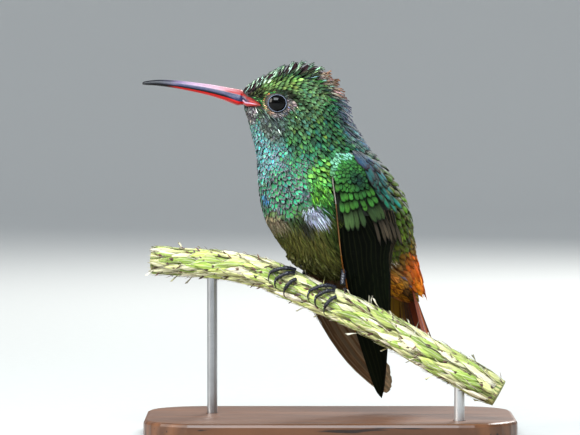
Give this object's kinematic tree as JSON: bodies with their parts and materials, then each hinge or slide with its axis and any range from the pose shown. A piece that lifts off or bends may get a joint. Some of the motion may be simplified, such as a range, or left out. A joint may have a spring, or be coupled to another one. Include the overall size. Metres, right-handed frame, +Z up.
{
  "type": "rufous-tailed hummingbird",
  "caption": "Life-size still model of a perched green hummingbird with a long red bill and rufous tail, on a cut length of stem held over a flat display stand.",
  "frame": {"origin": "middle of the underside of the stand's base", "axes": "+Z up; the bill points along -X, and the bird's left side faces -Y"},
  "size_m": [0.0863, 0.054, 0.0866],
  "materials": {
    "crown_feathers": "fine raised feathers, dark brown with pale mint edges",
    "throat_feathers": "glossy teal green scales with grey fringes",
    "back_feathers": "glossy green feathers with rusty fringes, softer and greyer on the belly",
    "rufous_feathers": "soft bright rufous feathers",
    "wing_coverts": "glossy green feathers with dark middles",
    "flight_feathers": "dark brown vanes with pale shafts",
    "upper_mandible": "smooth horn, red at the root and black at the tip",
    "lower_mandible": "smooth horn, bright red with a black tip",
    "eye_gloss": "polished, near black",
    "foot_scales": "blackish small scales",
    "claw_horn": "glossy black horn",
    "stem_bracts": "dry fibrous bracts, pale green and straw",
    "stand_base_wood": "satin dark wood",
    "stand_rod_steel": "brushed"
  },
  "bodies": {
    "root": {"bill_lower": "lower_mandible", "bill_upper": "upper_mandible", "claw_left_1": "claw_horn", "claw_left_2": "claw_horn", "claw_left_3": "claw_horn", "claw_left_4": "claw_horn", "claw_right_1": "claw_horn", "claw_right_2": "claw_horn", "claw_right_3": "claw_horn", "claw_right_4": "claw_horn", "eye_left": "eye_gloss", "eye_right": "eye_gloss", "head": "crown_feathers", "leg_left": "foot_scales", "leg_right": "foot_scales", "neck": "throat_feathers", "perch_stem": "stem_bracts", "rump_and_tail_coverts": "rufous_feathers", "stand_base": "stand_base_wood", "stand_rod_left": "stand_rod_steel", "stand_rod_right": "stand_rod_steel", "tail_left": "rufous_feathers", "tail_right": "rufous_feathers", "toe_left_1": "foot_scales", "toe_left_2": "foot_scales", "toe_left_3": "foot_scales", "toe_left_4": "foot_scales", "toe_right_1": "foot_scales", "toe_right_2": "foot_scales", "toe_right_3": "foot_scales", "toe_right_4": "foot_scales", "trunk": "back_feathers", "wing_left_coverts": "wing_coverts", "wing_left_primaries": "flight_feathers", "wing_left_secondaries": "flight_feathers", "wing_right_coverts": "wing_coverts", "wing_right_primaries": "flight_feathers", "wing_right_secondaries": "flight_feathers"}
  },
  "joints": []
}
